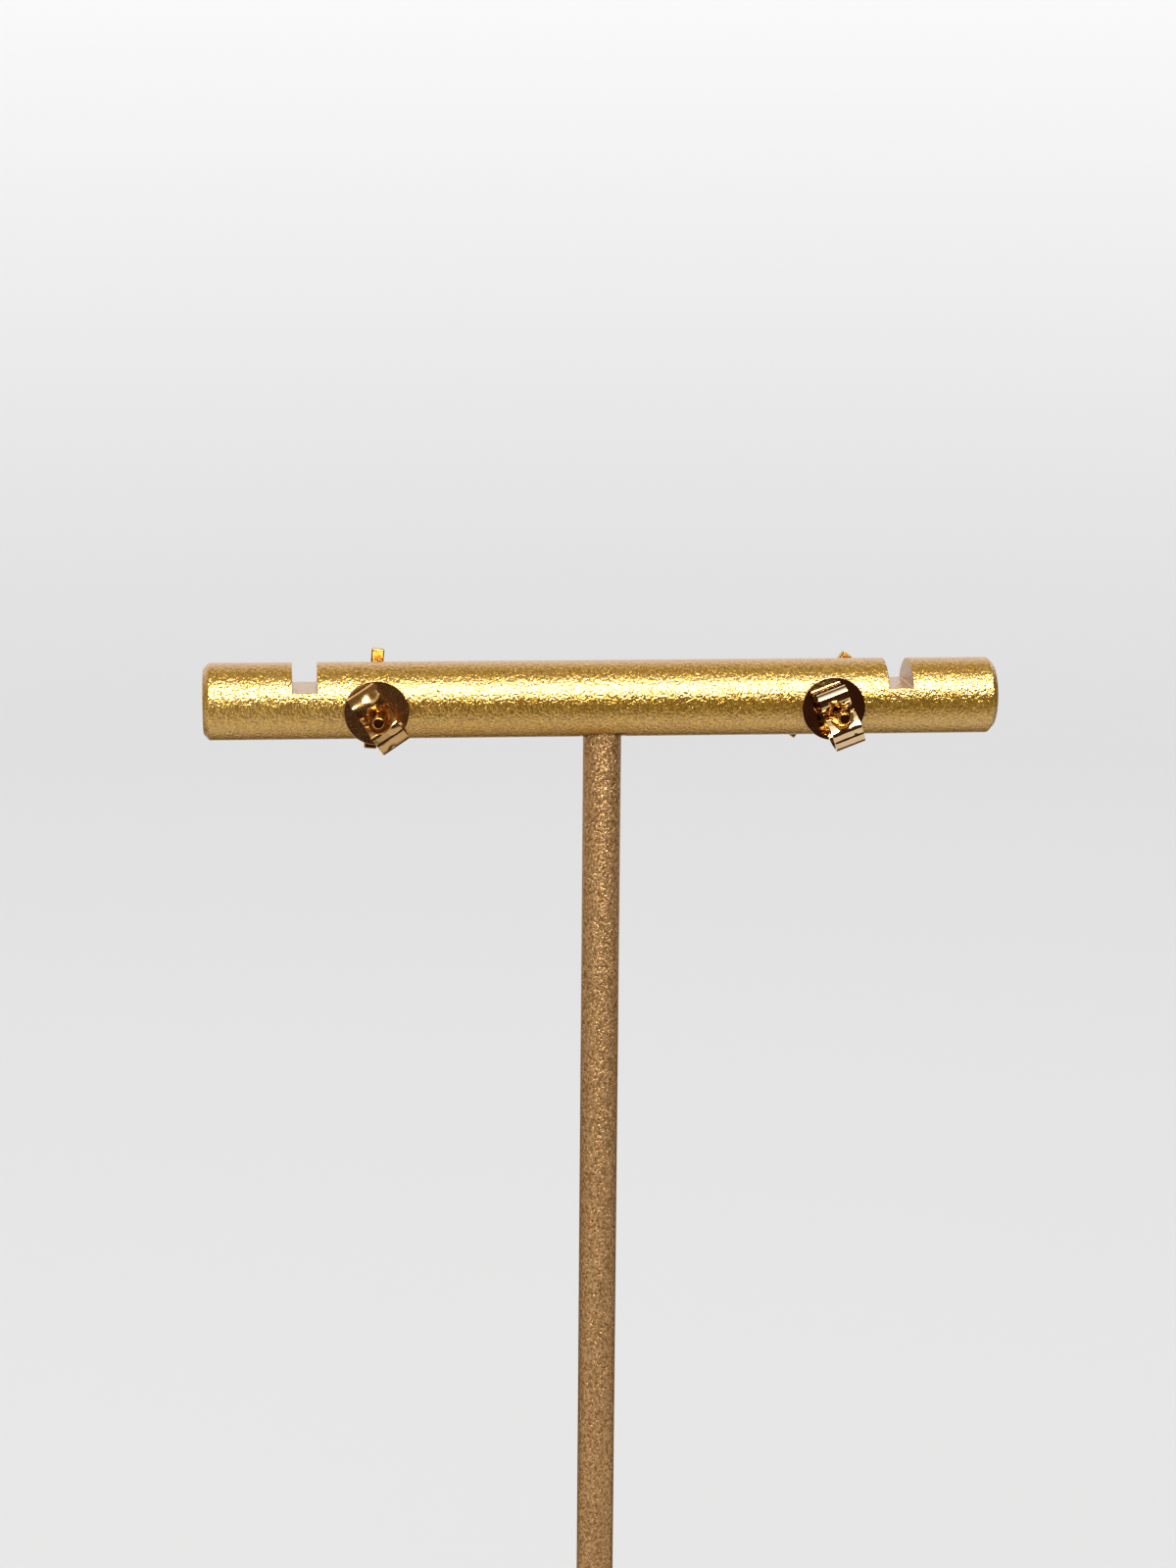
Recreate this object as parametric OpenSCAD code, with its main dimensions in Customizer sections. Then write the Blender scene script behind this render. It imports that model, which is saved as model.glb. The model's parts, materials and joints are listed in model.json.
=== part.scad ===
/* [Stand] */
// Length of the round cross bar
bar_len = 62; // [56:1:80]
// Diameter of the cross bar
bar_d = 6; // [5:0.5:8]
// Height of the cross bar's axis above the table
bar_axis_h = 117; // [80:1:140]
// Width of the turned bevel at each end of the cross bar
bar_bevel = 0.45; // [0.2:0.05:1]
// Distance of each hook notch from the middle of the cross bar
notch_x = 23.2; // [21:0.1:26]
// Width of a hook notch along the cross bar
notch_w = 1.9; // [1:0.1:3]
// Depth of a hook notch below the top of the cross bar
notch_depth = 1.95; // [1:0.05:2.5]
// Diameter of the upright rod
rod_d = 3; // [2:0.1:4]
// Diameter of the round foot plate
foot_d = 50; // [40:1:70]
// Thickness of the foot plate
foot_t = 4; // [3:0.5:8]
// Rounding of the foot plate's upper rim
foot_round = 1; // [0.5:0.1:1.5]

/* [Studs] */
// Distance of each stud hole from the middle of the cross bar
hole_x = 17.75; // [12:0.05:19]
// Diameter of a stud hole
hole_d = 1.8; // [1.4:0.1:2.2]
// Lean of the left stud's head from upright, in degrees
left_head_lean = 5; // [-90:1:90]
// Lean of the right stud's head from upright, in degrees
right_head_lean = 36; // [-90:1:90]
// Length of a stud's bar-shaped head
head_len = 8; // [7.6:0.1:9]
// Width of a stud's head
head_w = 1; // [0.96:0.01:1.4]
// Depth of a stud's head, back to front
head_t = 0.8; // [0.6:0.05:1.8]
// Diameter of the ear post
post_d = 0.9; // [0.7:0.05:1]
// Length of the ear post behind the head
post_len = 11; // [10.5:0.1:12]

/* [Stones] */
// Number of brilliants in one head
stone_count = 8; // [4:1:8]
// Diameter of one brilliant at its girdle
stone_d = 0.8; // [0.7:0.01:0.82]
// Diameter of the grains that hold the brilliants
grain_d = 0.22; // [0.16:0.01:0.24]

/* [Clutches] */
// Turn of the left clutch's wings from upright, in degrees
left_clutch_turn = 34; // [-90:1:90]
// Turn of the right clutch's wings from upright, in degrees
right_clutch_turn = 21; // [-90:1:90]
// Diameter of the clutch's disc
disc_d = 5; // [4.6:0.1:6]
// Thickness of the clutch's sheet
sheet_t = 0.25; // [0.2:0.01:0.3]
// Width of the rolled wings
wing_w = 2.35; // [2:0.05:2.8]

/* [Hidden] */
$fn = 64;
eps = 0.01;
bar_r = bar_d / 2;

// Radial play round the rod in its two sockets, and the gap left at a seat
socket_play = 0.12;
seat_gap = 0.02;
bar_socket_depth = 3.4;
foot_socket_depth = 3;
rod_bevel = 0.25;
foot_bevel = 0.3;

// The post lies on the floor of its wider hole, and its head hangs close behind the bar
post_r = post_d / 2;
post_drop = hole_d / 2 - post_r - seat_gap;
post_axis_h = bar_axis_h - post_drop;
head_gap = 0.05;
head_back = -bar_r - head_gap;
head_front = head_back - head_t;
head_corner = 0.12;
post_bevel = 0.1;
// Rolled V groove near the tip, where the wings lock when the stud is worn
groove_from_tip = 1.2;
groove_len = 0.6;
groove_depth = 0.1;

// Proportions of a round brilliant: angles, and shares of its girdle radius
crown_angle = 34.5;
pavilion_angle = 40.8;
table_share = 0.55;
star_share = 0.74;
lower_share = 0.24;
girdle_share = 0.05;
stone_r = stone_d / 2;
girdle_half = girdle_share * stone_r / 2;
head_end_margin = 0.15;
stone_pitch = (head_len - 2 * head_end_margin) / stone_count;
// Seat: a cone of the pavilion's angle, its rim this far below the front of the head
stone_sink = 0.08;
seat_r = stone_r + seat_gap;
seat_depth = seat_r * tan(pavilion_angle);
seat_z = head_front + stone_sink;
// Grains stand in the corners between neighbouring brilliants
grain_r = grain_d / 2;
grain_side = head_w / 2 - grain_r - 0.02;
grain_sink = 0.02;

// Clutch: a disc close to the bar and a strip on it, pressed into it a little, whose two
// ends are rolled up into wings. Both have a hole for the post.
disc_gap = 0.1;
disc_near = bar_r + disc_gap;
clutch_hole_r = post_r + 0.05;
wing_bend_start = 1.3;
strip_h = 1.5 * sheet_t - eps;
wing_step = 10;
// One row for each arc of a rolled wing: radius of its middle line, degrees it turns.
// A row below zero bends the wing back a little, which leaves a crease across it. The wings
// were rolled by hand, so the four of them differ.
left_upper_arcs = [[0.85, 83], [34, 1], [0.4, 36], [1.6, 10], [0.8, 5], [1.1, 25], [0.9, 20],
    [1.5, 25], [1.3, 30], [0.35, 125]];
left_lower_arcs = [[1.15, 74], [4, 16], [1.1, 55], [2.2, 12], [0.2, 28], [-0.2, -28],
    [30, 1], [0.2, 46], [1.7, 20], [6, 3], [0.35, 125]];
right_upper_arcs = [[0.35, 84], [92, 1], [0.3, 50], [0.7, 28], [0.6, 37], [1.5, 40],
    [6, 4], [0.35, 125]];
right_lower_arcs = [[1.33, 72], [2.6, 18], [1.38, 62], [0.25, 26], [-0.25, -24], [26, 1],
    [0.16, 47], [2.6, 20], [8, 2], [0.35, 125]];
ARC_RADIUS = 0;
ARC_TURN = 1;

// Pin along +Z, from z = 0, with a bevel at each end
module bevelled_pin(r, len, bevel) {
    rotate_extrude() polygon([
        [0, 0], [r - bevel, 0], [r, bevel],
        [r, len - bevel], [r - bevel, len], [0, len]]);
}

// Half section of the foot plate: rounded upper rim, bevelled lower edge
module foot_section() {
    rim = foot_d / 2 - foot_round;
    difference() {
        union() {
            square([rim, foot_t]);
            square([foot_d / 2, foot_t - foot_round]);
            translate([rim, foot_t - foot_round]) intersection() {
                circle(foot_round);
                square(foot_round);
            }
        }
        translate([foot_d / 2, 0]) rotate(45) square(foot_bevel * sqrt(2), center = true);
    }
}

// Round foot plate with a blind socket for the rod
module foot_plate() color("darkgoldenrod") difference() {
    rotate_extrude($fn = 128) foot_section();
    translate([0, 0, foot_t - foot_socket_depth])
        cylinder(r = rod_d / 2 + socket_play, h = foot_socket_depth + eps);
}

// Upright rod, standing from the foot's socket to the cross bar's
module upright_rod() color("goldenrod") {
    low = foot_t - foot_socket_depth + seat_gap;
    high = bar_axis_h - bar_r + bar_socket_depth - seat_gap;
    translate([0, 0, low]) bevelled_pin(rod_d / 2, high - low, rod_bevel);
}

// Round cross bar with two hook notches, two stud holes and the rod's socket
module cross_bar() color("gold") translate([0, 0, bar_axis_h]) difference() {
    translate([-bar_len / 2, 0, 0]) rotate([0, 90, 0]) bevelled_pin(bar_r, bar_len, bar_bevel);
    for (side = [-1, 1]) {
        translate([side * notch_x - notch_w / 2, -bar_d, bar_r - notch_depth])
            cube([notch_w, 2 * bar_d, bar_d]);
        translate([side * hole_x, 0, 0]) rotate([90, 0, 0])
            cylinder(d = hole_d, h = 2 * bar_d, center = true);
    }
    translate([0, 0, -bar_d])
        cylinder(r = rod_d / 2 + socket_play, h = bar_d - bar_r + bar_socket_depth);
}

// Puts a piece made round +Z, with its long side along +X, onto a post in the bar:
// +Z then points out past the post's tip, and +X leans from upright by some degrees
module on_post(side, lean) {
    translate([side * hole_x, 0, post_axis_h]) rotate([90, 0, 0]) rotate([0, 0, 90 - lean])
        children();
}

// Outline of a head from the front, with small round corners
module head_outline() {
    inner = [head_len - 2 * head_corner, head_w - 2 * head_corner];
    square([head_len, inner[1]], center = true);
    square([inner[0], head_w], center = true);
    for (x = [-1, 1], y = [-1, 1])
        translate([x * inner[0] / 2, y * inner[1] / 2]) circle(head_corner);
}

function stone_x(i) = (i - (stone_count + 1) / 2) * stone_pitch;

// Conical seat of one brilliant, open to the front of the head
module stone_seat(i) translate([stone_x(i), 0, seat_z]) {
    cylinder(r1 = seat_r, r2 = 0, h = seat_depth);
    translate([0, 0, -2 * stone_sink]) cylinder(r = seat_r, h = 2 * stone_sink);
}

// Ear post along +Z with a bevelled tip and a V groove near it
module ear_post(len) {
    groove_top = len - groove_from_tip;
    rotate_extrude() polygon([
        [0, 0], [post_r, 0], [post_r, groove_top - groove_len],
        [post_r - groove_depth, groove_top - groove_len / 2], [post_r, groove_top],
        [post_r, len - post_bevel], [post_r - post_bevel, len], [0, len]]);
}

// Head, grains and ear post, soldered into one solid
module stud(side, lean) color("gold") on_post(side, lean) {
    difference() {
        translate([0, 0, head_front]) linear_extrude(head_t) head_outline();
        for (i = [1:stone_count]) stone_seat(i);
    }
    for (i = [0:stone_count], y = [-1, 1])
        translate([stone_x(i) + stone_pitch / 2, y * grain_side, head_front + grain_sink])
            sphere(grain_r, $fn = 24);
    translate([0, 0, head_back - eps]) ear_post(post_len + eps);
}

function ring(n, r, z, turn = 0) = [for (k = [0:n - 1])
    [r * cos(k * 360 / n + turn), r * sin(k * 360 / n + turn), z]];

// Round brilliant with its table towards -Z and its girdle round z = 0
module brilliant() {
    table_z = -girdle_half - stone_r * (1 - table_share) * tan(crown_angle);
    star_z = -girdle_half - stone_r * (1 - star_share * cos(22.5)) * tan(crown_angle);
    lower_z = girdle_half + stone_r * (1 - lower_share * cos(22.5)) * tan(pavilion_angle);
    culet_z = girdle_half + stone_r * tan(pavilion_angle);
    corners = concat(ring(8, stone_r * table_share, table_z),
        ring(8, stone_r * star_share, star_z, 22.5),
        ring(16, stone_r, -girdle_half), ring(16, stone_r, girdle_half),
        ring(8, stone_r * lower_share, lower_z, 22.5), [[0, 0, culet_z]]);
    hull() polyhedron(corners, [[for (k = [0:len(corners) - 1]) k]]);
}

// One brilliant, lifted just clear of its seat
module stone(side, lean, i) color("white") on_post(side, lean)
    translate([stone_x(i), 0, seat_z - girdle_half - seat_gap]) brilliant();

// A wing's middle line as [distance out, height, heading], arc by arc
function arc_start(arcs, i) = i == 0 ? [wing_bend_start, strip_h, 0] : wing_at(arcs, i - 1, 1);
function wing_at(arcs, i, share) =
    let (from = arc_start(arcs, i), r = arcs[i][ARC_RADIUS],
         heading = from[2] + share * arcs[i][ARC_TURN])
    [from[0] + r * (sin(heading) - sin(from[2])),
     from[1] - r * (cos(heading) - cos(from[2])), heading];
function wing_line(arcs) = [for (i = [0:len(arcs) - 1])
    let (steps = ceil(abs(arcs[i][ARC_TURN]) / wing_step))
    for (k = [(i == 0 ? 0 : 1):steps]) wing_at(arcs, i, k / steps)];
function beside(p, d) = [p[0] + d * sin(p[2]), p[1] - d * cos(p[2])];

// Half the strip from the side: flat from the middle of the disc, then rolled into a wing
module wing_profile(arcs) {
    line = wing_line(arcs);
    polygon(concat([[-eps, strip_h - sheet_t / 2]], [for (p = line) beside(p, sheet_t / 2)],
        [for (k = [1:len(line)]) beside(line[len(line) - k], -sheet_t / 2)],
        [[-eps, strip_h + sheet_t / 2]]));
}

// The rolled strip: the upper wing lies towards +X
module strip(upper_arcs, lower_arcs) rotate([90, 0, 0])
    translate([0, 0, -wing_w / 2]) linear_extrude(wing_w) {
        wing_profile(upper_arcs);
        mirror([1, 0]) wing_profile(lower_arcs);
    }

// Butterfly clutch: a disc with a strip on it whose rolled wings grip the post
module clutch(side, turn, upper_arcs, lower_arcs) color("goldenrod") on_post(side, -turn)
    translate([0, 0, disc_near]) difference() {
        union() {
            cylinder(d = disc_d, h = sheet_t);
            strip(upper_arcs, lower_arcs);
        }
        translate([0, 0, -eps]) cylinder(r = clutch_hole_r, h = post_len);
    }

foot_plate();
upright_rod();
cross_bar();
stud(-1, left_head_lean);  // left_stud
stud(1, right_head_lean);  // right_stud
clutch(-1, left_clutch_turn, left_upper_arcs, left_lower_arcs);  // left_clutch
clutch(1, right_clutch_turn, right_upper_arcs, right_lower_arcs);  // right_clutch
for (i = [1:stone_count]) {
    stone(-1, left_head_lean, i);
    stone(1, right_head_lean, i);
}
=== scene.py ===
import json
import math

import bpy
from mathutils import Matrix, Vector


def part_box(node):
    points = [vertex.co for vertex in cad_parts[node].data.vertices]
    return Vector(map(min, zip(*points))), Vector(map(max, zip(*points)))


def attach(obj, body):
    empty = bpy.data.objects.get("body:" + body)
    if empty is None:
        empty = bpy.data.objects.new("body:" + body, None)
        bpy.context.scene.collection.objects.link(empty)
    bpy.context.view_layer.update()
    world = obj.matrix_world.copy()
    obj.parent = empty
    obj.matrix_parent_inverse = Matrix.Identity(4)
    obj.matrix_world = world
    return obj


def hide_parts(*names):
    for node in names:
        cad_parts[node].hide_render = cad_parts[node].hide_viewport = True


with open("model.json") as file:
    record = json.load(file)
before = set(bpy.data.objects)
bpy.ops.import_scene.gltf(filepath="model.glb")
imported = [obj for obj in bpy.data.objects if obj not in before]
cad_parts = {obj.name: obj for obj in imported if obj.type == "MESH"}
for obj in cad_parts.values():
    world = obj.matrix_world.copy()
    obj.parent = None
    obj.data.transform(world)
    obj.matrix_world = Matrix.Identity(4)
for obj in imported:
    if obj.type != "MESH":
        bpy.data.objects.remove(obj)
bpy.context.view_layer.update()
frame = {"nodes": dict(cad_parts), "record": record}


# Camera
# It stands in front of the clutches, a little left of the middle and above the bar, and
# looks slightly down, with its place and lens worked out from the bar's and rod's edges.
# Sizes are in millimetres, which MM turns to metres, and the camera's turns in radians.
MM = 0.001
bar_low, bar_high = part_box("cross_bar")
bar_axis = Vector((0, 0, (bar_low.z + bar_high.z) / 2))
camera_from_bar = Vector((-23.64, -219.52, 37.63)) * MM
camera_turn, camera_dip, camera_roll = 0.1024, 0.1989, 0.0081
camera_data = bpy.data.cameras.new("camera")
camera_data.sensor_width = 36
camera_data.lens = 65.64
camera_data.clip_start = 10 * MM
camera = bpy.data.objects.new("camera", camera_data)
bpy.context.scene.collection.objects.link(camera)
camera.matrix_world = (
    Matrix.Translation(bar_axis + camera_from_bar)
    @ Matrix.Rotation(-camera_turn, 4, "Z")
    @ Matrix.Rotation(math.pi / 2 - camera_dip, 4, "X")
    @ Matrix.Rotation(camera_roll, 4, "Z")
)
bpy.context.scene.camera = camera
bpy.context.scene.view_settings.view_transform = "Standard"


# Stage
# A seamless pale bowl: a flat paper floor that sweeps up into a wall all round, under a
# large soft light. A narrow lamp and cards that only reflections see give the gold its
# dark and bright bands, as a room does.
def linear(colour):
    """An sRGB colour, written #rrggbb, as linear red, green, blue and alpha."""
    parts = [int(colour[k:k + 2], 16) / 255 for k in (1, 3, 5)]
    return [p / 12.92 if p <= 0.04045 else ((p + 0.055) / 1.055) ** 2.4 for p in parts] + [1]


def add_node(tree, kind, inputs, **settings):
    """Adds a node, with its settings and with values or links for its inputs."""
    node = tree.nodes.new(kind)
    for name, value in settings.items():
        setattr(node, name, value)
    for name, value in inputs.items():
        if isinstance(value, bpy.types.NodeSocket):
            tree.links.new(value, node.inputs[name])
        else:
            node.inputs[name].default_value = value
    return node


def new_material(name):
    """A material with its node tree and its shader."""
    material = bpy.data.materials.new(name)
    material.use_nodes = True
    return material, material.node_tree, material.node_tree.nodes["Principled BSDF"]


def give(piece, material):
    """Puts one material all over a piece."""
    piece.data.materials.clear()
    piece.data.materials.append(material)


def turned(name, rows, sides):
    """A closed turned piece round +Z, in millimetres: rows of (height, radius), lowest first."""
    bpy.ops.object.select_all(action="DESELECT")
    height, radius = rows[0]
    bpy.ops.mesh.primitive_circle_add(
        vertices=sides, radius=radius, fill_type="NGON", location=(0, 0, height))
    piece = bpy.context.object
    piece.name = piece.data.name = name
    bpy.ops.object.transform_apply()
    bpy.ops.object.mode_set(mode="EDIT")
    for next_height, next_radius in rows[1:]:
        bpy.ops.mesh.extrude_region_move(
            TRANSFORM_OT_translate={"value": (0, 0, next_height - height)})
        share = next_radius / radius
        bpy.ops.transform.resize(
            value=(share, share, 1), center_override=(0, 0, next_height))
        height, radius = next_height, next_radius
    bpy.ops.mesh.select_all(action="SELECT")
    bpy.ops.mesh.normals_make_consistent(inside=False)
    bpy.ops.object.mode_set(mode="OBJECT")
    return piece


floor_radius, sweep_radius, wall_height = 600, 500, 1500
sweep_steps = 12
glow_height, floor_glow, wall_glow = 400, 0.345, 0.74
stage_rows = [(0, 1), (0, floor_radius)]
for k in range(1, sweep_steps + 1):
    angle = math.pi / 2 * k / sweep_steps
    stage_rows.append((sweep_radius * (1 - math.cos(angle)),
                       floor_radius + sweep_radius * math.sin(angle)))
stage_rows.append((wall_height, floor_radius + sweep_radius))
bowl = turned("stage_bowl", stage_rows, sides=96)
bpy.ops.object.mode_set(mode="EDIT")
bpy.ops.mesh.flip_normals()
bpy.ops.mesh.select_all(action="DESELECT")
bpy.ops.object.mode_set(mode="OBJECT")
top = max(bowl.data.polygons, key=lambda face: face.center.z)
top.select = True
bpy.ops.object.mode_set(mode="EDIT")
bpy.ops.mesh.delete(type="FACE")
bpy.ops.object.mode_set(mode="OBJECT")
bpy.ops.object.shade_smooth()
bowl.data.transform(Matrix.Scale(MM, 4))
# Matt paper: pale grey without any gloss. It glows by itself as painted light, with a painted
# brightening towards the top of the wall.
paper, tree, shader = new_material("matt_pale_paper")
place = add_node(tree, "ShaderNodeTexCoord", {}).outputs["Object"]
height = add_node(tree, "ShaderNodeSeparateXYZ", {"Vector": place}).outputs["Z"]
glow = add_node(tree, "ShaderNodeMapRange", {
    "Value": height, "From Max": glow_height * MM, "To Min": floor_glow, "To Max": wall_glow})
tree.links.new(glow.outputs["Result"], shader.inputs["Emission Strength"])
shader.inputs["Emission Color"].default_value = linear("#ffffff")
shader.inputs["Base Color"].default_value = linear("#9c9c9c")
shader.inputs["Roughness"].default_value = 0.9
shader.inputs["Specular IOR Level"].default_value = 0.2
give(bowl, paper)

world = bpy.data.worlds.new("world")
world.use_nodes = True
world.node_tree.nodes["Background"].inputs["Color"].default_value = linear("#f4f4f4")
world.node_tree.nodes["Background"].inputs["Strength"].default_value = 0.8
bpy.context.scene.world = world


def from_bar(azimuth, elevation, distance):
    """A point seen from the bar's middle: azimuth 0 is towards the camera's side, 90 to +X."""
    turn, rise = math.radians(azimuth), math.radians(elevation)
    way = Vector((math.sin(turn) * math.cos(rise), -math.cos(turn) * math.cos(rise),
                  math.sin(rise)))
    return bar_axis + way * distance * MM


def aim(thing, place):
    """Turns a lamp or a card so that its face looks from that place at the bar's middle."""
    turn = (bar_axis - place).to_track_quat("-Z", "Y").to_matrix().to_4x4()
    thing.matrix_world = Matrix.Translation(place) @ turn


def lamp(name, azimuth, elevation, distance, size, power, colour):
    """A flat soft light that looks at the bar and isn't seen by the camera."""
    data = bpy.data.lights.new(name, "AREA")
    data.shape = "RECTANGLE"
    data.size, data.size_y = size[0] * MM, size[1] * MM
    data.energy = power
    data.color = linear(colour)[:3]
    light = bpy.data.objects.new(name, data)
    bpy.context.scene.collection.objects.link(light)
    light.visible_camera = False
    aim(light, from_bar(azimuth, elevation, distance))
    return light


def card(name, azimuth, elevation, distance, size, tones, strength, blotch):
    """A flat card that only reflections see, blotched with two tones: blotch is the width
    of one in millimetres."""
    bpy.ops.object.select_all(action="DESELECT")
    bpy.ops.mesh.primitive_plane_add(size=1)
    piece = bpy.context.object
    piece.name = piece.data.name = name
    piece.data.transform(Matrix.Diagonal((size[0] * MM, size[1] * MM, 1, 1)))
    aim(piece, from_bar(azimuth, elevation, distance))
    # A glowing card gives the eye only what the gold mirrors: one soft-edged blotched tone.
    material, tree, shader = new_material(name)
    place = add_node(tree, "ShaderNodeTexCoord", {}).outputs["Object"]
    clouds = add_node(tree, "ShaderNodeTexNoise", {
        "Vector": place, "Scale": 1 / (blotch * MM), "Detail": 3, "Roughness": 0.6})
    share = add_node(tree, "ShaderNodeMapRange", {
        "Value": clouds.outputs["Fac"], "From Min": 0.48, "From Max": 0.62})
    tone = add_node(tree, "ShaderNodeMixRGB", {
        "Fac": share.outputs["Result"],
        "Color1": linear(tones[0]), "Color2": linear(tones[1])})
    tree.links.new(tone.outputs["Color"], shader.inputs["Emission Color"])
    shader.inputs["Base Color"].default_value = (0, 0, 0, 1)
    shader.inputs["Specular IOR Level"].default_value = 0
    shader.inputs["Emission Strength"].default_value = strength
    give(piece, material)
    for way in ("camera", "diffuse", "transmission", "volume_scatter", "shadow"):
        setattr(piece, "visible_" + way, False)


# The main light gives the long glint on the bar, and the soft light the shade on the floor.
main_light = lamp("main_light", azimuth=2, elevation=38, distance=520, size=(485, 115),
                  power=4.5, colour="#fffdf8")
main_light.visible_diffuse = False
soft_light = lamp("soft_light", azimuth=-20, elevation=62, distance=900, size=(700, 700),
                  power=6, colour="#ffffff")
soft_light.visible_glossy = False
# Each card: its name, azimuth and elevation in degrees, distance and size in millimetres,
# two tones, strength and blotch
card("white_front", 2, 43, 560, (530, 400), ("#ffffff", "#fff4dc"), 1.5, 300)
card("dark_front", 14, -11, 135, (162, 218), ("#331a12", "#5d4530"), 1, 30)
card("dark_above", 180, 80, 480, (900, 350), ("#5f4b36", "#8c765c"), 1, 90)
card("dark_below", 180, -52, 120, (400, 110), ("#5e4a30", "#7c664c"), 1, 60)
card("dark_right", 86, -4, 320, (600, 460), ("#20130c", "#4a3421"), 1, 90)
card("dark_left", -72, 16, 320, (620, 740), ("#6e5a3c", "#a48a62"), 1, 90)


# Foot plate
# A turned steel disc with a rounded upper rim, sprayed with the stand's sand-textured gold
# paint. The rod is glued into a blind socket in its middle.
def cut(piece, cutter, operation="DIFFERENCE"):
    """Cuts one piece with another, or joins them into one skin, and uses the second up."""
    boolean = piece.modifiers.new("boolean", "BOOLEAN")
    boolean.operation = operation
    boolean.solver = "EXACT"
    boolean.object = cutter
    apply_all(piece)
    bpy.data.objects.remove(cutter)


def apply_all(piece):
    """Applies every modifier of a piece, first to last."""
    bpy.ops.object.select_all(action="DESELECT")
    piece.select_set(True)
    bpy.context.view_layer.objects.active = piece
    for modifier in list(piece.modifiers):
        bpy.ops.object.modifier_apply(modifier=modifier.name)


def soften(piece, width, segments, corner=40, clamp=False):
    """Rounds each corner sharper than some degrees, then shades the piece smooth but for those."""
    bevel = piece.modifiers.new("bevel", "BEVEL")
    bevel.width = width
    bevel.segments = segments
    bevel.limit_method = "ANGLE"
    bevel.angle_limit = math.radians(corner)
    bevel.use_clamp_overlap = clamp
    apply_all(piece)
    shade(piece, corner)


def shade(piece, corner):
    """Shades a piece smooth but for its sharp corners, and keeps its flat faces flat."""
    bpy.ops.object.shade_smooth_by_angle(angle=math.radians(corner))
    evenly = piece.modifiers.new("even_normals", "WEIGHTED_NORMAL")
    evenly.keep_sharp = True
    apply_all(piece)


def settle(piece, place=Matrix()):
    """Puts a piece modelled in millimetres at its place, in metres."""
    piece.data.transform(Matrix.Scale(MM, 4) @ place)
    piece.data.update()


def textured_paint(name, light_colour, pit_colour_with_painted_shade, grain, depth, roughness, lacquer):
    """Metallic paint with a sandy crinkle and small flakes on it: grain is the crinkle's
    width and depth its height, in mm, and lacquer is how much of it has a clear coat."""
    flakes_across, flake_depth = 4, depth / 12
    material, tree, shader = new_material(name)
    place = add_node(tree, "ShaderNodeTexCoord", {}).outputs["Object"]
    crinkle = add_node(tree, "ShaderNodeTexNoise", {
        "Vector": place, "Scale": 1 / (grain * MM), "Detail": 2, "Roughness": 0.6})
    flakes = add_node(tree, "ShaderNodeTexNoise", {
        "Vector": place, "Scale": flakes_across / (grain * MM), "Detail": 1,
        "Roughness": 0.5})
    # The tone follows the crinkle's height. It is darker in its pits and lighter on its crests,
    # partly the paint's own uneven tone and partly painted shade.
    spread = add_node(tree, "ShaderNodeMapRange", {
        "Value": crinkle.outputs["Fac"], "From Min": 0.35, "From Max": 0.65})
    tone = add_node(tree, "ShaderNodeMixRGB", {
        "Fac": spread.outputs["Result"],
        "Color1": linear(pit_colour_with_painted_shade), "Color2": linear(light_colour)})
    coarse = add_node(tree, "ShaderNodeBump", {
        "Height": crinkle.outputs["Fac"], "Distance": depth * MM, "Strength": 1})
    fine = add_node(tree, "ShaderNodeBump", {
        "Height": flakes.outputs["Fac"], "Distance": flake_depth * MM, "Strength": 1,
        "Normal": coarse.outputs["Normal"]})
    tree.links.new(tone.outputs["Color"], shader.inputs["Base Color"])
    tree.links.new(fine.outputs["Normal"], shader.inputs["Normal"])
    tree.links.new(coarse.outputs["Normal"], shader.inputs["Coat Normal"])
    shader.inputs["Metallic"].default_value = 0.68
    shader.inputs["Roughness"].default_value = roughness
    shader.inputs["Specular Tint"].default_value = linear("#c89a55")
    shader.inputs["Coat Weight"].default_value = lacquer
    shader.inputs["Coat Roughness"].default_value = 0.16
    # Lacquer has about 1.5. At 2 its glints are as white as the real paint's.
    shader.inputs["Coat IOR"].default_value = 2
    return material


socket_play, past_face = 0.12, 1
_, foot_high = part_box("foot_plate")
foot_radius, foot_thickness = foot_high.x / MM, foot_high.z / MM
foot_rim, foot_edge, foot_socket_depth = 1, 0.3, 3
rim_steps = 6
foot_rows = [(0, foot_radius - foot_edge), (foot_edge, foot_radius)]
for k in range(rim_steps + 1):
    angle = math.pi / 2 * k / rim_steps
    foot_rows.append((foot_thickness - foot_rim * (1 - math.sin(angle)),
                      foot_radius - foot_rim * (1 - math.cos(angle))))
rod_low, rod_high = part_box("upright_rod")
rod_radius = rod_high.x / MM
socket_radius = rod_radius + socket_play
foot = turned("foot", foot_rows, sides=192)
cut(foot, turned("foot_socket", [(foot_thickness - foot_socket_depth, socket_radius),
                                 (foot_thickness + past_face, socket_radius)], sides=64))
soften(foot, width=0.12, segments=3)
settle(foot)
# Gold paint with a sandy crinkle under clear lacquer: the eye gets a warm satin gold that
# breaks up into sparks where a lamp is mirrored.
foot_paint = textured_paint("sand_textured_gold_paint", "#d8aa34", "#ae7e1c",
                            grain=0.24, depth=0.09, roughness=0.09, lacquer=0.9)
give(foot, foot_paint)
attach(foot, "stand")
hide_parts("foot_plate")


# Upright rod
# Round steel bar cut to length with both ends turned to a small bevel, sprayed with the same
# paint as the foot. It stands in the foot's socket and holds the cross bar on its other end.
rod_bevel = 0.25
rod = turned("rod", [(rod_low.z / MM, rod_radius - rod_bevel),
                     (rod_low.z / MM + rod_bevel, rod_radius),
                     (rod_high.z / MM - rod_bevel, rod_radius),
                     (rod_high.z / MM, rod_radius - rod_bevel)], sides=96)
soften(rod, width=0.08, segments=3, corner=30)
settle(rod)
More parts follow.
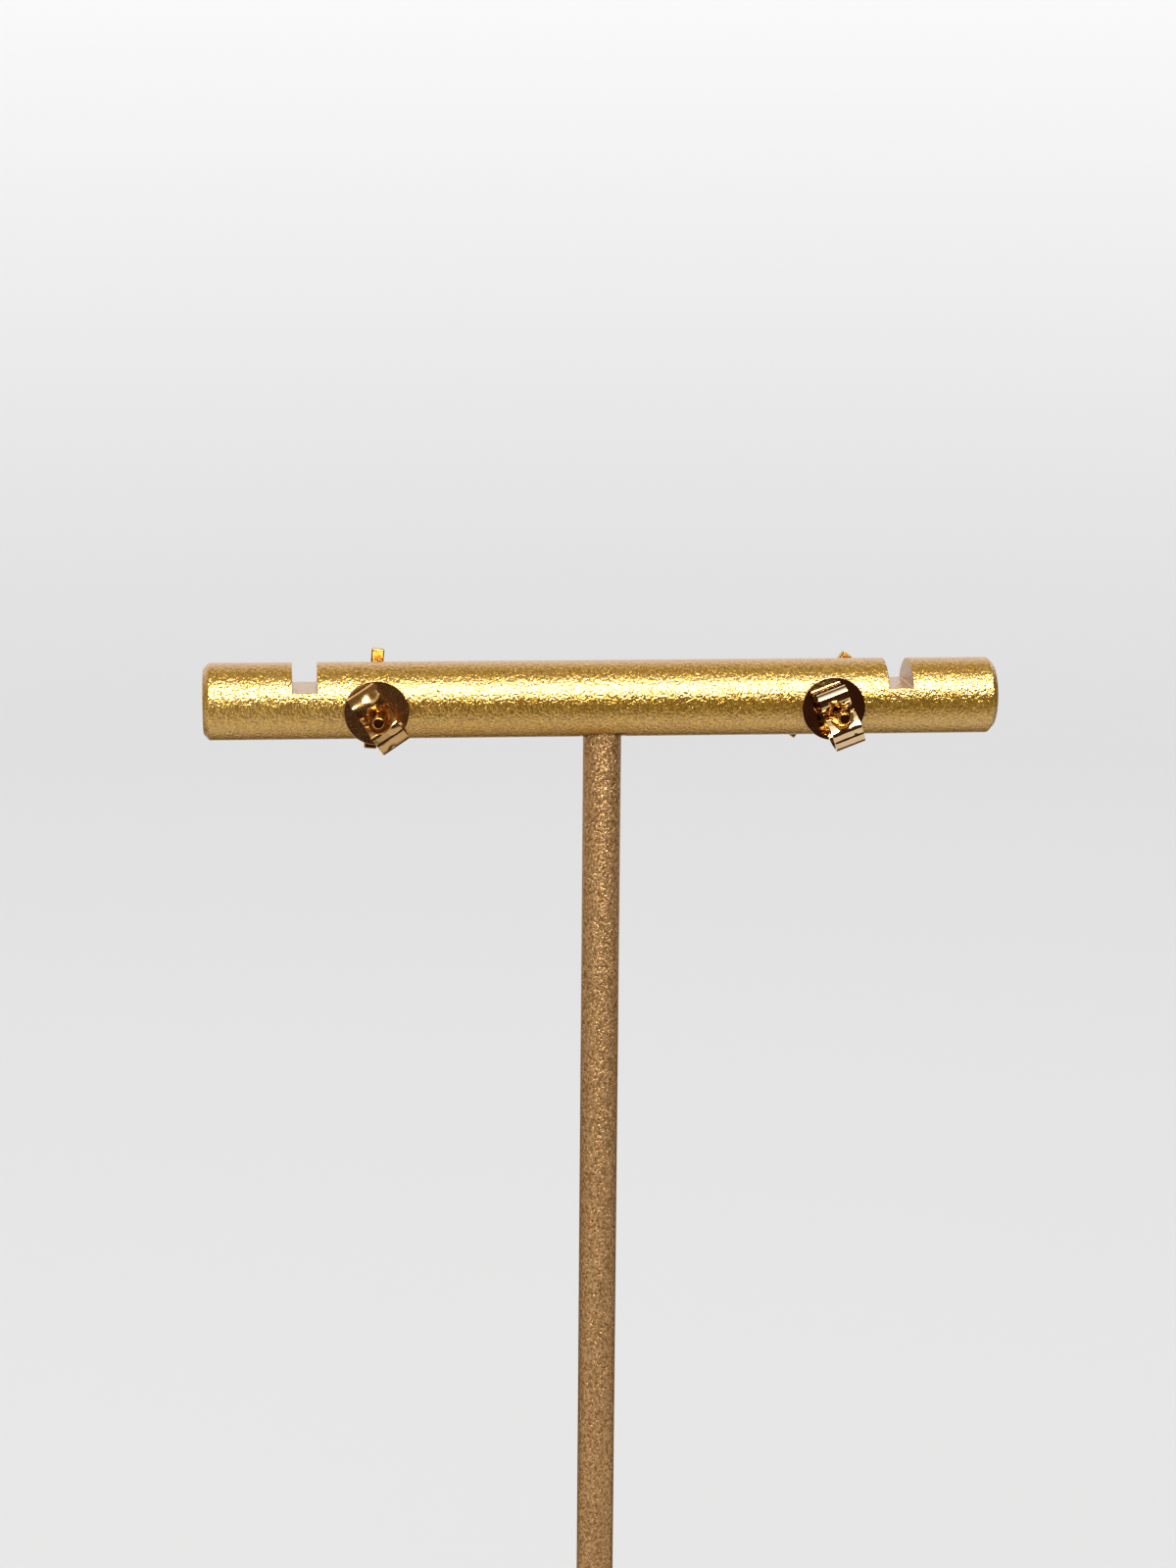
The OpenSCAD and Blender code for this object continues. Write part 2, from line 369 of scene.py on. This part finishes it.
# The same paint with little lacquer, made duller and browner than the foot's as painted shade,
# since the real rod has the foot's paint, and with a fine dark and light grain.
rod_paint = textured_paint("sand_textured_brown_gold_paint", "#d2a56e", "#886032",
                           grain=0.24, depth=0.16, roughness=0.11, lacquer=0.2)
give(rod, rod_paint)
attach(rod, "stand")
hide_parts("upright_rod")


# Cross bar
# Round steel bar, turned to a bevel at both ends. Two square notches for ear wires are sawn
# across its top and a hole for each stud is drilled through it, and then it is sprayed.
bar_bevel = 0.45
notch_x, notch_width, notch_depth = 23.2, 1.9, 1.95
hole_radius = 0.9
bar_socket_depth = 3.4
ring_from_rod, ring_from_hole, ring_from_notch = 0.4, 0.2, 0.3
bar_radius, bar_length = (bar_high.z - bar_low.z) / 2 / MM, 2 * bar_high.x / MM
# Where the tip of each stud's post is, in millimetres
posts = {mount["name"].split("_")[0]: Vector(mount["pos_m"]) / MM
         for mount in frame["record"]["mounts"] if mount["name"].endswith("post_tip")}
bar = turned("bar", [(0, bar_radius - bar_bevel), (bar_bevel, bar_radius),
                     (bar_length - bar_bevel, bar_radius), (bar_length, bar_radius - bar_bevel)],
             sides=96)
bar.data.transform(
    Matrix.Translation((-bar_length / 2, 0, 0)) @ Matrix.Rotation(math.pi / 2, 4, "Y"))
# Rings of edges keep each cut's long thin faces next to it.
bpy.ops.object.mode_set(mode="EDIT")
for side in (-1, 1):
    for ring_x in (rod_radius + ring_from_rod,
                   posts["right"].x - hole_radius - ring_from_hole,
                   posts["right"].x + hole_radius + ring_from_hole,
                   notch_x - notch_width / 2 - ring_from_notch,
                   notch_x + notch_width / 2 + ring_from_notch):
        bpy.ops.mesh.select_all(action="SELECT")
        bpy.ops.mesh.bisect(plane_co=(side * ring_x, 0, 0), plane_no=(1, 0, 0))
bpy.ops.object.mode_set(mode="OBJECT")
for side in (-1, 1):
    bpy.ops.object.select_all(action="DESELECT")
    bpy.ops.mesh.primitive_cube_add(
        size=1, location=(side * notch_x, 0, 2 * bar_radius - notch_depth),
        scale=(notch_width, 4 * bar_radius, 2 * bar_radius))
    cut(bar, bpy.context.object)
soften(bar, width=0.08, segments=3, corner=30)
cut(bar, turned("bar_socket", [(-2 * bar_radius, socket_radius),
                               (bar_socket_depth - bar_radius, socket_radius)], sides=64))
for side in (-1, 1):
    hole = turned("stud_hole", [(-2 * bar_radius, hole_radius), (2 * bar_radius, hole_radius)],
                  sides=64)
    hole.data.transform(
        Matrix.Translation((side * posts["right"].x, 0, 0)) @ Matrix.Rotation(math.pi / 2, 4, "X"))
    cut(bar, hole)
shade(bar, corner=30)
settle(bar, Matrix.Translation(bar_axis / MM))
# It has the foot's paint: along its upper side that gives one long band of white sparks.
give(bar, foot_paint)
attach(bar, "stand")
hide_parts("cross_bar")


# Studs
# Cast and polished yellow gold: a slim bar head with eight conical seats and a round grain in
# each corner between them, and the drawn ear post soldered to its back.
def on_post(side, lean):
    """The place of a piece made round +Z, with its long side along +X, on a post in the bar."""
    return (Matrix.Translation((posts[side].x, 0, posts[side].z))
            @ Matrix.Rotation(math.pi / 2, 4, "X")
            @ Matrix.Rotation(math.radians(90 - lean), 4, "Z"))


def joined(name, pieces):
    """Several pieces as one."""
    bpy.ops.object.select_all(action="DESELECT")
    for piece in pieces:
        piece.select_set(True)
    bpy.context.view_layer.objects.active = pieces[0]
    bpy.ops.object.join()
    pieces[0].name = pieces[0].data.name = name
    return pieces[0]


def copied(piece, name, place):
    """A copy with its own mesh, moved to its place."""
    twin = piece.copy()
    twin.data = piece.data.copy()
    twin.name = twin.data.name = name
    twin.data.transform(place)
    bpy.context.scene.collection.objects.link(twin)
    return twin


def polished_gold(name, colour, worn_colour, roughness, hollow_depth):
    """Polished gold with faint hollows, their depth in mm, and fine rubbed scratches, whose
    true width is drawn a little coarser so that it shows."""
    hollow_width, scratch_width, scratch_depth = 0.8, 0.12, 0.0008
    rubbed_roughness = 2.2 * roughness
    material, tree, shader = new_material(name)
    place = add_node(tree, "ShaderNodeTexCoord", {}).outputs["Object"]
    hollows = add_node(tree, "ShaderNodeTexNoise", {
        "Vector": place, "Scale": 1 / (hollow_width * MM), "Detail": 1, "Roughness": 0.5})
    rubbing = add_node(tree, "ShaderNodeTexNoise", {
        "Vector": place, "Scale": 1 / (scratch_width * MM), "Detail": 4, "Roughness": 0.7})
    tone = add_node(tree, "ShaderNodeMixRGB", {
        "Fac": hollows.outputs["Fac"], "Color1": linear(worn_colour), "Color2": linear(colour)})
    gloss = add_node(tree, "ShaderNodeMapRange", {
        "Value": rubbing.outputs["Fac"], "From Min": 0.35, "From Max": 0.7,
        "To Min": roughness, "To Max": rubbed_roughness})
    waves = add_node(tree, "ShaderNodeBump", {
        "Height": hollows.outputs["Fac"], "Distance": hollow_depth * MM, "Strength": 1})
    marks = add_node(tree, "ShaderNodeBump", {
        "Height": rubbing.outputs["Fac"], "Distance": scratch_depth * MM, "Strength": 1,
        "Normal": waves.outputs["Normal"]})
    tree.links.new(tone.outputs["Color"], shader.inputs["Base Color"])
    tree.links.new(gloss.outputs["Result"], shader.inputs["Roughness"])
    tree.links.new(marks.outputs["Normal"], shader.inputs["Normal"])
    shader.inputs["Metallic"].default_value = 1
    return material


head_leans = {"left": 5, "right": 36}
head_length, head_width, head_depth = 8, 1, 0.8
head_gap = 0.05
head_back = -bar_radius - head_gap
head_front = head_back - head_depth
stone_count, stone_radius, stone_sink, seat_gap = 8, 0.4, 0.08, 0.02
end_margin = 0.3
stone_pitch = (head_length - end_margin) / stone_count
seat_radius = stone_radius + seat_gap
pavilion_angle, seat_point = 40.8, 0.01
seat_depth = seat_radius * math.tan(math.radians(pavilion_angle))
grain_radius, grain_inset, grain_sink = 0.11, 0.02, 0.02
grain_side = head_width / 2 - grain_radius - grain_inset
post_length, post_radius, post_root = 11, 0.45, 0.4
post_bevel = 0.1
tip_round = 0.3 * post_bevel
post_tip = post_length - bar_radius - head_gap
groove_from_tip, groove_length, groove_depth = 1.2, 0.6, 0.1
groove_end = post_tip - groove_from_tip

bpy.ops.object.select_all(action="DESELECT")
bpy.ops.mesh.primitive_cube_add(
    size=1, location=(0, 0, (head_front + head_back) / 2),
    scale=(head_length, head_width, head_depth))
stud = bpy.context.object
bpy.ops.object.transform_apply()
soften(stud, width=0.12, segments=4)
seat = turned("seat", [(-3 * stone_sink, seat_radius), (0, seat_radius),
                       (seat_depth, seat_point)], sides=48)
seats = [copied(seat, f"seat_{k}", Matrix.Translation(
    ((k - (stone_count - 1) / 2) * stone_pitch, 0, head_front + stone_sink)))
    for k in range(stone_count)]
bpy.data.objects.remove(seat)
cut(stud, joined("seats", seats))
bpy.ops.object.select_all(action="DESELECT")
bpy.ops.mesh.primitive_uv_sphere_add(segments=20, ring_count=12, radius=grain_radius)
grain = bpy.context.object
grains = [copied(grain, f"grain_{k}_{y}", Matrix.Translation(
    ((k - stone_count / 2) * stone_pitch, y * grain_side, head_front + grain_sink)))
    for k in range(stone_count + 1) for y in (-1, 1)]
bpy.data.objects.remove(grain)
cut(stud, joined("grains", grains), "UNION")
post = turned("post", [
    (head_back - post_root, post_radius), (groove_end - groove_length, post_radius),
    (groove_end - groove_length / 2, post_radius - groove_depth), (groove_end, post_radius),
    (post_tip - post_bevel, post_radius), (post_tip - tip_round, post_radius - tip_round),
    (post_tip, post_radius - post_bevel)], sides=64)
cut(stud, post, "UNION")
shade(stud, corner=35)
# Polished gold: it mirrors the room in clear light and dark bands, hardly bent at all.
stud_gold = polished_gold("polished_yellow_gold", "#d8ae62", "#c4924a",
                          roughness=0.06, hollow_depth=0.02)
for side in ("left", "right"):
    piece = copied(stud, f"{side}_ear_stud", Matrix())
    settle(piece, on_post(side, head_leans[side]))
    give(piece, stud_gold)
    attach(piece, "stand")
    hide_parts(f"{side}_stud")
bpy.data.objects.remove(stud)


# Stones
# Round brilliants, cut and polished diamond, each held in its seat by four grains. Diamond
# bends light far more than glass, so each facet shows another piece of the surroundings.
# Clear polished diamond: the eye gets a lively mix of white and black facets.
cloud_width = 0.3
brilliant, tree, shader = new_material("polished_brilliant_cut_diamond")
place = add_node(tree, "ShaderNodeTexCoord", {}).outputs["Object"]
clouds = add_node(tree, "ShaderNodeTexNoise", {
    "Vector": place, "Scale": 1 / (cloud_width * MM), "Detail": 3})
tint = add_node(tree, "ShaderNodeMixRGB", {
    "Fac": clouds.outputs["Fac"], "Color1": linear("#f4f6ff"), "Color2": linear("#ffffff")})
tree.links.new(tint.outputs["Color"], shader.inputs["Base Color"])
shader.inputs["Roughness"].default_value = 0
shader.inputs["IOR"].default_value = 2.417
shader.inputs["Transmission Weight"].default_value = 1
for side in ("left", "right"):
    for k in range(1, stone_count + 1):
        give(frame["nodes"][f"{side}_stone_{k}"], brilliant)


# Clutches
# Each is gold sheet: a stamped disc and a strip pressed on it, both with a hole for the post.
# The strip's two ends are rolled up and over into wings that meet at the post, in a hollow
# shaped like a funnel. Both pieces are tumbled bright after forming.
def pick(piece, kind, test):
    """Selects only the faces, edges or vertices that pass a test, and leaves edit mode on."""
    bpy.ops.object.select_all(action="DESELECT")
    piece.select_set(True)
    bpy.context.view_layer.objects.active = piece
    bpy.ops.object.mode_set(mode="EDIT")
    bpy.ops.mesh.select_mode(type={"polygons": "FACE", "edges": "EDGE", "vertices": "VERT"}[kind])
    bpy.ops.mesh.select_all(action="DESELECT")
    bpy.ops.object.mode_set(mode="OBJECT")
    for part in getattr(piece.data, kind):
        part.select = test(part)
    bpy.ops.object.mode_set(mode="EDIT")


def press(piece, place, reach, move):
    """Pushes a dent or a bulge into a sheet: the point nearest to place moves, and those
    within reach follow it."""
    nearest = min(piece.data.vertices, key=lambda point: (point.co - place).length).index
    pick(piece, "vertices", lambda point: point.index == nearest)
    bpy.ops.transform.translate(
        value=move, use_proportional_edit=True, use_proportional_connected=True,
        proportional_edit_falloff="SMOOTH", proportional_size=reach)
    bpy.ops.object.mode_set(mode="OBJECT")


def clutch(name, arcs, funnel_rows, dents):
    """A clutch round +Z: arcs has each wing's rows of (radius, degrees), from its bend at the
    disc to its end, and funnel_rows the hollow that both wings leave for the post."""
    sheet, flat_length, wing_width = 0.25, 2.6, 2.35
    disc_radius, post_hole_radius, post_hole_top, past_disc = 2.5, 0.5, 0.8, 0.5
    # The mesh: faces across and along the strip, one step round a bend and the fewest of them
    across, along, step, least_steps = 26, 6, 0.09, 3
    # The notch in each wing's curled end: half its width and how far it reaches inwards
    curl_notch, notch_reach = 0.8, 0.2
    # How deep the strip is pressed into the disc, and how near an edge is to the strip's end
    pressed_in, on_the_line = 0.01, 1e-4
    # Where the funnel's edge is smoothed: its lowest height, half width and half length
    smooth_above, smooth_width, smooth_length = 0.9, 1, 1.6
    flat_height = 1.5 * sheet - pressed_in
    bpy.ops.object.select_all(action="DESELECT")
    bpy.ops.mesh.primitive_grid_add(
        x_subdivisions=along, y_subdivisions=across, size=1, location=(0, 0, flat_height))
    piece = bpy.context.object
    piece.name = piece.data.name = name
    piece.scale = (flat_length, wing_width, 1)
    bpy.ops.object.transform_apply()
    for side in (-1, 1):
        pick(piece, "edges", lambda edge: all(
            abs(piece.data.vertices[k].co.x - side * flat_length / 2) < on_the_line
            for k in edge.vertices))
        tip, heading = Vector((flat_length / 2, 0, flat_height)), 0
        for radius, degrees in arcs[side]:
            lip = tip
            centre = tip + radius * Vector((-math.sin(heading), 0, math.cos(heading)))
            bpy.ops.mesh.spin(
                steps=max(least_steps, round(math.radians(degrees) * radius / step)),
                angle=math.radians(degrees),
                center=(side * centre.x, 0, centre.z), axis=(0, side, 0))
            heading += math.radians(degrees)
            tip = centre + radius * Vector((math.sin(heading), 0, -math.cos(heading)))
        bpy.ops.object.mode_set(mode="OBJECT")
        pick(piece, "polygons", lambda face: (
            abs(face.center.y) < curl_notch and abs(face.center.x) < flat_length / 2
            and side * face.center.x > lip.x - notch_reach
            and 2 * sheet < face.center.z < lip.z))
        bpy.ops.mesh.delete(type="FACE")
        bpy.ops.object.mode_set(mode="OBJECT")
    bpy.ops.object.mode_set(mode="EDIT")
    bpy.ops.mesh.select_all(action="SELECT")
    bpy.ops.mesh.remove_doubles(threshold=0.001)
    bpy.ops.mesh.normals_make_consistent(inside=False)
    bpy.ops.object.mode_set(mode="OBJECT")

    funnel = turned("funnel", funnel_rows, sides=128)
    for side in (-1, 1):
        pick(piece, "vertices", lambda point: point.co.x * side > 0 and point.co.z > 2 * sheet)
        bpy.ops.object.vertex_group_assign_new()
        bpy.ops.object.mode_set(mode="OBJECT")
        wrap = piece.modifiers.new("wrap", "SHRINKWRAP")
        wrap.vertex_group = piece.vertex_groups[-1].name
        wrap.target = funnel
        wrap.wrap_method = "PROJECT"
        wrap.use_project_x = True
        wrap.use_positive_direction = side > 0
        wrap.use_negative_direction = side < 0
    apply_all(piece)
    bpy.data.objects.remove(funnel)
    pick(piece, "vertices", lambda point: (
        point.co.z > smooth_above and abs(point.co.y) < smooth_width
        and abs(point.co.x) < smooth_length))
    bpy.ops.mesh.vertices_smooth(factor=0.5, repeat=2)
    bpy.ops.object.mode_set(mode="OBJECT")
    for place, reach, move in dents:
        press(piece, Vector(place), reach, move)

    wall = piece.modifiers.new("wall", "SOLIDIFY")
    wall.thickness = sheet
    wall.offset = 0
    apply_all(piece)
    soften(piece, width=0.035, segments=2, corner=50, clamp=True)
    disc = turned("disc", [(0, disc_radius), (sheet, disc_radius)], sides=128)
    soften(disc, width=0.05, segments=3)
    cut(piece, disc, "UNION")
    cut(piece, turned("clutch_hole", [(-past_disc, post_hole_radius),
                                      (post_hole_top, post_hole_radius)], sides=48))
    shade(piece, corner=40)
    return piece


disc_gap = 0.1
clutch_turns = {"left": 34, "right": 21}
wing_arcs = {
    "left": {
        1: [(0.85, 83), (34, 1), (0.4, 36), (1.6, 10), (0.8, 5), (1.1, 25), (0.9, 20), (1.5, 25),
            (1.3, 30), (0.35, 125)],
        -1: [(1.15, 74), (4, 16), (1.1, 55), (2.2, 12), (0.2, 28), (-0.2, -28), (30, 1),
             (0.2, 46), (1.7, 20), (6, 3), (0.35, 125)]},
    "right": {
        1: [(0.35, 84), (92, 1), (0.3, 50), (0.7, 28), (0.6, 37), (1.5, 40), (6, 4),
            (0.35, 125)],
        -1: [(1.33, 72), (2.6, 18), (1.38, 62), (0.25, 26), (-0.25, -24), (26, 1), (0.16, 47),
             (2.6, 20), (8, 2), (0.35, 125)]},
}
funnels = {
    "left": [(0.5, 0.64), (2.2, 0.66), (2.6, 0.84), (3.1, 0.95), (3.9, 1.1), (6, 1.8)],
    "right": [(0.5, 0.64), (2.1, 0.65), (2.6, 0.75), (3, 0.88), (3.6, 1.02), (6, 1.9)],
}
# Each dent: the place that it is nearest to, how far it reaches, and its move
wing_dents = {
    "left": [
        ((1.7, -0.4, 2.9), 0.7, (-0.03, 0, -0.1)), ((1.8, 1.2, 2.8), 0.5, (0, 0, 0.1)),
        ((-1.1, -0.6, 3.6), 0.6, (0, 0, 0.1)), ((-2.3, 0.27, 2.9), 0.5, (0.08, 0, -0.08))],
    "right": [
        ((-1.6, 0.3, 3.55), 0.8, (0, 0, -0.06)), ((-1.54, -0.6, 3.55), 0.5, (0, 0, -0.04))],
}
# The left clutch's gold is darker, and its mirrored bands are soft and dented as on worn gold. The
# right one's gold is pale, with hard white, tan and near black bands as on nearly new gold.
clutch_golds = {
    "left": polished_gold("worn_tumbled_yellow_gold", "#d3ae77", "#bd9155",
                          roughness=0.13, hollow_depth=0.035),
    "right": polished_gold("tumbled_yellow_gold", "#e6cba0", "#dcbb88",
                           roughness=0.05, hollow_depth=0.02),
}
for side in ("left", "right"):
    piece = clutch(
        f"{side}_butterfly_clutch", wing_arcs[side], funnels[side], wing_dents[side])
    piece.data.transform(Matrix.Translation((0, 0, bar_radius + disc_gap)))
    settle(piece, on_post(side, -clutch_turns[side]))
    give(piece, clutch_golds[side])
    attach(piece, f"{side}_clutch")
    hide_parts(f"{side}_clutch")
